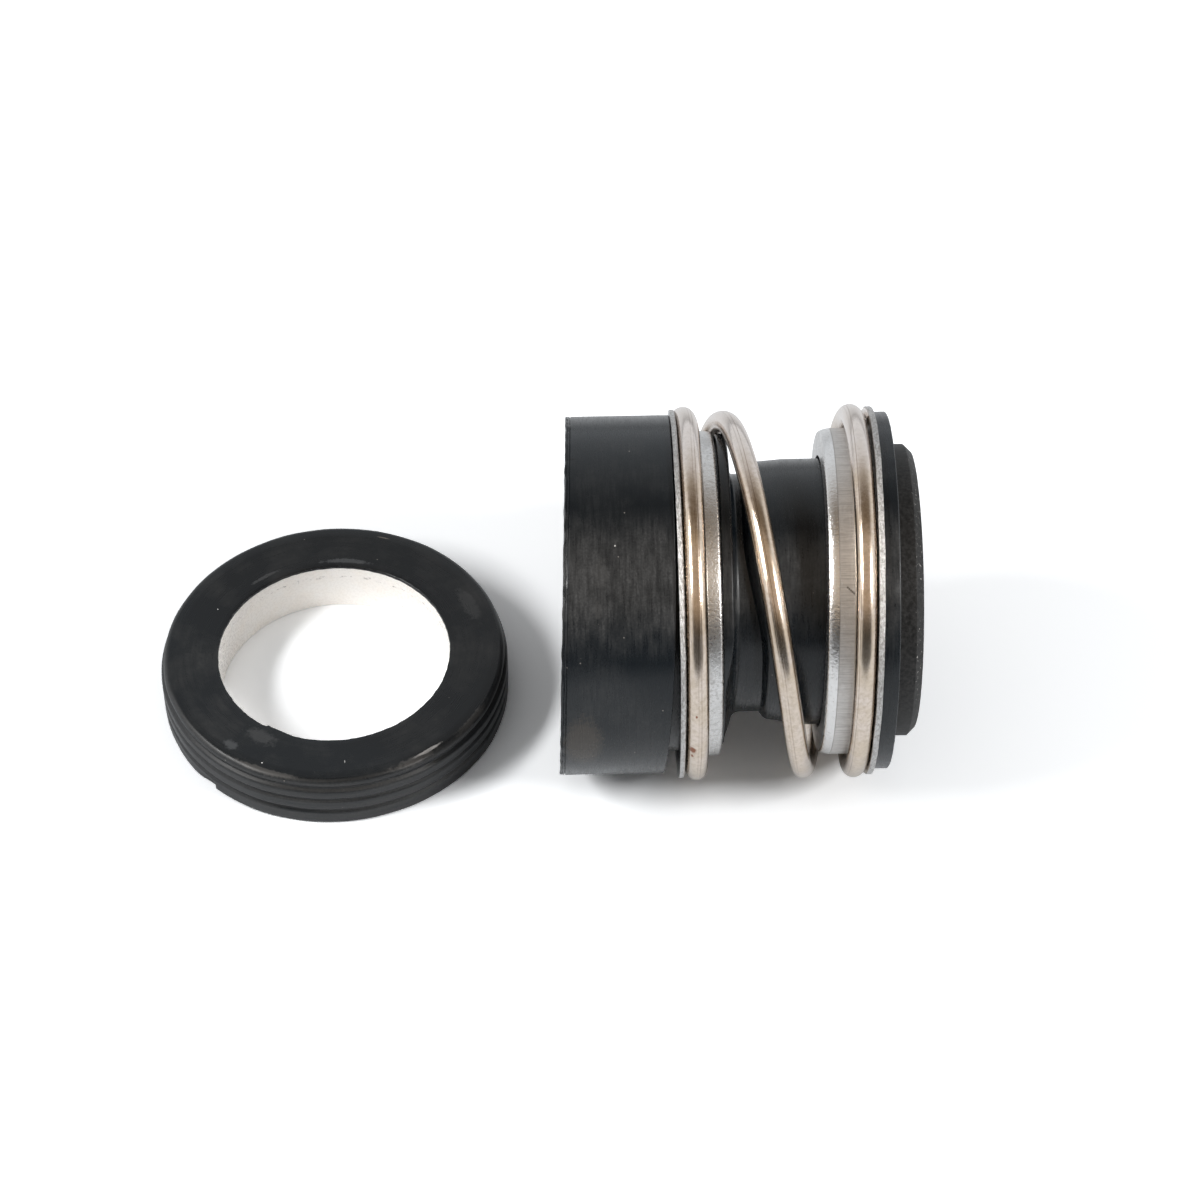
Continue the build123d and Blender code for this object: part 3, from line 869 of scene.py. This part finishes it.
steps = round((head_tip_angle - tail_tip_angle) / 360 * steps_per_turn)
turns = np.linspace(tail_tip_angle, head_tip_angle, steps + 1)
angles = np.radians(turns)
arch = np.exp(-((turns - active_turn - top_angle) / arch_span) ** 2)
outward = np.stack([0 * angles, np.cos(angles), np.sin(angles)], axis=-1)
centres = outward * (coil_r - arch_drop * arch)[:, None]
centres[:, 0] = closed_x + climb_length * np.array([climb(turn) for turn in turns])
forward = np.gradient(centres, axis=0)
forward /= np.linalg.norm(forward, axis=1)[:, None]
outward -= (outward * forward).sum(axis=1)[:, None] * forward
outward /= np.linalg.norm(outward, axis=1)[:, None]
across = np.cross(forward, outward)
sides = np.radians(180 + np.arange(wire_sides) * 360 / wire_sides)
ring = outward[:, None, :] * np.cos(sides)[None, :, None]
ring = ring + across[:, None, :] * np.sin(sides)[None, :, None]
wire = centres[:, None, :] + wire_r * ring


def ground(wire, centres, plane, side):
    """Flattens what stands past a ground face onto it, no wider than the cut wire is there."""
    depth = side * (centres[:, 0] - plane)
    past = side * (wire[:, :, 0] - plane) > 0
    half = np.sqrt(np.clip(wire_r ** 2 - depth ** 2, 0, None))[:, None]
    across_flat = ((wire - centres[:, None, :]) * outward[:, None, :]).sum(axis=-1)
    kept = np.clip(across_flat, -half, half)
    flat = centres[:, None, :] + outward[:, None, :] * kept[:, :, None]
    flat[:, :, 0] = plane
    return np.where(past[:, :, None], flat, wire)


wire = ground(wire, centres, spring_x, -1)
wire = ground(wire, centres, head_flange_x, 1)
wire = tilted(wire)
rings = len(turns)
vertices = wire.reshape(-1, 3)
lengths = np.concatenate([[0], np.cumsum(np.linalg.norm(np.diff(centres, axis=0), axis=1))])
faces, uv = [], []
for row in range(rings - 1):
    for column in range(wire_sides):
        after = (column + 1) % wire_sides
        first, second = row * wire_sides + column, row * wire_sides + after
        faces.append([first, second, second + wire_sides, first + wire_sides])
        low, high = (edge / wire_sides * 2 * pi for edge in (column, column + 1))
        here, ahead = lengths[row], lengths[row + 1]
        uv += [(here, low), (here, high), (ahead, high), (ahead, low)]
for row in (0, rings - 1):
    cap = [row * wire_sides + column for column in range(wire_sides)]
    faces.append(cap[::-1] if row == 0 else cap)
    uv += [(lengths[row], 0.0)] * wire_sides
spring = add_piece(
    "coil_spring", vertices, faces, uv, None, "spring", wire_finish, 50.0)
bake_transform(spring)

# --- Carbon face ring -------------------------------------------------------
face_r = face_high.y
carbon_tilt = carbon_share * tan(radians(head_lean))
chipped_from_r = 13.5
chipped_full_r = 14.0
face_outline = rounded([
    (face_low.x, face_bore_r, 0.1),
    (face_low.x, face_r, 0.1),
    (face_high.x - face_chamfer, face_r, 0.12),
    (face_high.x, face_r - face_chamfer, 0.12),
    (face_high.x, face_bore_r, 0.15),
])


def face_shift(x, r, turn):
    """The ring leans a little with the head, and its edge is chipped."""
    edge = ease(x, face_high.x - face_chamfer - 0.2, face_high.x - face_chamfer)
    edge = edge * ease(r, chipped_from_r, chipped_full_r)
    leaning = carbon_tilt * (r * np.cos(turn - radians(head_lean_about)) - face_r)
    return x + leaning, r + ring_chips * edge * ripple(turn, 12, (11, 19, 31, 47, 67))


vertices, faces, uv = turned(face_outline, shift=face_shift)
add_piece("carbon_face", vertices, faces, uv, "head", "face_ring", carbon_finish)

# --- Seat -------------------------------------------------------------------
cup_root_r = cup_r - 0.28
cup_rim_r = cup_r - 0.3
rim_round = 0.62
groove_heights = (2.0, 3.65, 5.2)
groove_reach = 0.34         # from a groove's middle to the rib beside it
rim_slope_r = 16.2          # the back face falls towards its bore from here
rim_slope = 0.15
foot_taper = 0.06
ring_gap = 0.02             # rubber from the ceramic it grips


def upright(vertices):
    """Points turned from the shaft axis to the seat's own, standing on +Z."""
    along, first, second = np.asarray(vertices).T
    return np.stack([first + seat_centre.x, second + seat_centre.y, along], axis=-1)


seat_outline = rounded([
    (seat_low.z, seat_bore_r, 0.2),
    (seat_high.z, seat_bore_r, 0.05),
    (seat_high.z, seat_r, 0.05),
    (seat_low.z, seat_r, 0.2),
])
vertices, faces, uv = turned(seat_outline)
add_piece(
    "ceramic_seat", upright(vertices), faces, uv, "tail", "seat_ring", ceramic_finish)

grooves = []
for height in groove_heights:
    groove_z = seat_low.z + height
    above_r = cup_rim_r if height == groove_heights[-1] else cup_r
    grooves += [
        (groove_z - groove_reach, cup_r, 0.4),
        (groove_z, cup_root_r - (cup_r - above_r) / 2, 0.16),
        (groove_z + groove_reach, above_r, 0.4),
    ]
grooves[-1] = (*grooves[-1][:2], 0.12)
cup_outline = rounded([
    (cup_low.z, seat_r + ring_gap),
    (cup_low.z, cup_r - foot_taper, 0.25),
    *grooves,
    (cup_high.z, cup_rim_r, rim_round),
    (cup_high.z, rim_slope_r, 2.0),
    (cup_high.z - rim_slope, seat_bore_r, 0.12),
    (seat_high.z + face_gap, seat_bore_r),
    (seat_high.z + face_gap, seat_r + ring_gap),
])


def cup_shift(z, r, turn):
    """Soft unevenness inside the CAD's outline, a torn bore edge with a tag, a chipped foot."""
    outer = ease(r, cup_root_r - 1.0, cup_root_r)
    inner = 1 - ease(r, seat_bore_r, seat_bore_r + 0.6)
    waves = cup_waves * outer * (ripple(turn, 21) - cup_waves_inward)
    waves = waves - cup_waves * inner * ripple(turn, 22, (13, 29, 41, 57, 83))
    tag = -tag_depth * inner * window(turn, *tag_window)
    low = 1 - ease(z, cup_low.z + 0.9, cup_low.z + 1.4)
    chip = -chip_depth * outer * low * window(turn, *chip_window)
    return z, r + waves + tag + chip


vertices, faces, uv = turned(cup_outline, shift=cup_shift)
add_piece("seat_boot", upright(vertices), faces, uv, "tail", "seat_cup", cup_rubber)

# --- Floor ------------------------------------------------------------------
floor_seen = 1.36           # overexposed paper, as the camera sees it
floor_in_metal = 0.80       # as metal reflects it
floor_bounce = 1.36         # and as it lights dull surfaces
floor_reach = 2000.0
floor_mesh = bpy.data.meshes.new("floor")
signs = ((-1, -1), (1, -1), (1, 1), (-1, 1))
corners = [Vector((x * floor_reach, y * floor_reach, floor_z)) * MM for x, y in signs]
floor_mesh.from_pydata(corners, [], [(0, 1, 2, 3)])
floor = bpy.data.objects.new("floor", floor_mesh)
bpy.context.scene.collection.objects.link(floor)
floor_paint, tree, shader = new_material("floor_paper")
shader.inputs["Roughness"].default_value = 0.9
shader.inputs["Specular IOR Level"].default_value = 0.1
path = add(tree, "LightPath")
lighting, mirrored = grey(floor_bounce, -0.01), grey(floor_in_metal, -0.03)
paper = blend_colour(tree, path.outputs["Is Glossy Ray"], lighting, mirrored)
paper = blend_colour(tree, path.outputs["Is Camera Ray"], paper, grey(floor_seen, -0.015))
tree.links.new(paper, shader.inputs["Base Color"])
floor_mesh.materials.append(floor_paint)

# --- Light ------------------------------------------------------------------
# The room as metal sees it, by the angle from the front horizon over the top to the back one.
# Angle, level and warmth of each step.
room_levels = (
    (0, 0.13, 0.0),
    (9, 0.11, 0.0),
    (19, 0.06, 0.05),
    (28, 0.10, 0.20),
    (40, 0.49, 0.23),
    (78, 0.50, 0.21),
    (92, 0.16, 0.28),
    (108, 0.18, 0.22),
    (125, 0.50, 0.04),
    (142, 0.74, -0.02),
    (168, 0.80, -0.04),
    (180, 0.96, -0.04),
)
low_fill = 0.09             # what lights dull surfaces from the horizon
high_fill = 0.44            # and from straight above
side_level = 1.0            # bright sides of the room, by how far a ray points sideways
side_from = 0.62
side_full = 0.85
lamp_aim = Vector((5, 0, 0))
world = bpy.data.worlds.new("room")
bpy.context.scene.world = world
world.use_nodes = True
tree = world.node_tree
apart = add(tree, "SeparateXYZ", {0: add(tree, "TexCoord").outputs["Generated"]})
front = maths(tree, "MULTIPLY", apart.outputs["Y"], -1.0)
angle = maths(tree, "ARCTAN2", apart.outputs["Z"], front)
ramp = add(tree, "ValToRGB", {"Fac": maths(tree, "DIVIDE", angle, pi)})
stops = ramp.color_ramp.elements
stops[0].position, stops[0].color = 0.0, grey(*room_levels[0][1:])
stops[1].position, stops[1].color = 1.0, grey(*room_levels[-1][1:])
for degrees, level, warmth in room_levels[1:-1]:
    stops.new(degrees / 180).color = grey(level, warmth)
path = add(tree, "LightPath")
sideways = span(tree, maths(tree, "ABSOLUTE", apart.outputs["X"]), side_from, side_full)
seen = blend_colour(tree, sideways, ramp.outputs["Color"], grey(side_level))
fill = span(tree, apart.outputs["Z"], 0.0, 1.0, low_fill, high_fill)
colour = blend_colour(tree, path.outputs["Is Glossy Ray"], fill, seen)
colour = blend_colour(tree, path.outputs["Is Camera Ray"], colour, grey(1.0))
background = tree.nodes["Background"]
tree.links.new(colour, background.inputs["Color"])
background.inputs["Strength"].default_value = 1.0


def lamp(name, position, size, roll, power):
    """A soft box aimed at the unit and rolled about that line; power is in watts."""
    light = bpy.data.lights.new(name, "AREA")
    light.shape = "RECTANGLE"
    light.size, light.size_y = size[0] * MM, size[1] * MM
    light.energy = power
    holder = bpy.data.objects.new(name, light)
    bpy.context.scene.collection.objects.link(holder)
    holder.location = Vector(position) * MM
    aim = lamp_aim * MM - holder.location
    aimed = aim.to_track_quat("-Z", "Y").to_matrix() @ Matrix.Rotation(radians(roll), 3, "Z")
    holder.rotation_euler = aimed.to_euler()


def around(azimuth, elevation, distance):
    """A place round the unit: azimuth from the camera's side towards +X."""
    turn, rise = radians(azimuth), radians(elevation)
    away = distance * cos(rise)
    return (away * sin(turn), -away * cos(turn), distance * sin(rise))


lamp("left_box", around(-76, 42, 500), (260, 80), -25, 1.70)
lamp("right_box", around(63, 35, 560), (70, 130), -37, 1.95)

# --- Camera -----------------------------------------------------------------
elevation, azimuth, roll = (radians(angle) for angle in (view_elevation, view_azimuth, view_roll))
flat = cos(elevation)
to_camera = Vector((-flat * sin(azimuth), -flat * cos(azimuth), sin(elevation)))
right = Vector((0, 0, 1)).cross(to_camera).normalized()
up = to_camera.cross(right)
right, up = cos(roll) * right + sin(roll) * up, -sin(roll) * right + cos(roll) * up
camera_data = bpy.data.cameras.new("camera")
sensor_width = 36.0
camera_data.sensor_width = sensor_width
camera_data.lens = sensor_width * focal_share
camera_data.clip_start = 0.01
camera = bpy.data.objects.new("camera", camera_data)
bpy.context.scene.collection.objects.link(camera)
facing_object = Matrix((right, up, to_camera)).transposed().to_4x4()
camera_place = (view_target + to_camera * view_distance) * MM
camera.matrix_world = Matrix.Translation(camera_place) @ facing_object
bpy.context.scene.camera = camera
bpy.context.scene.view_settings.view_transform = "Standard"
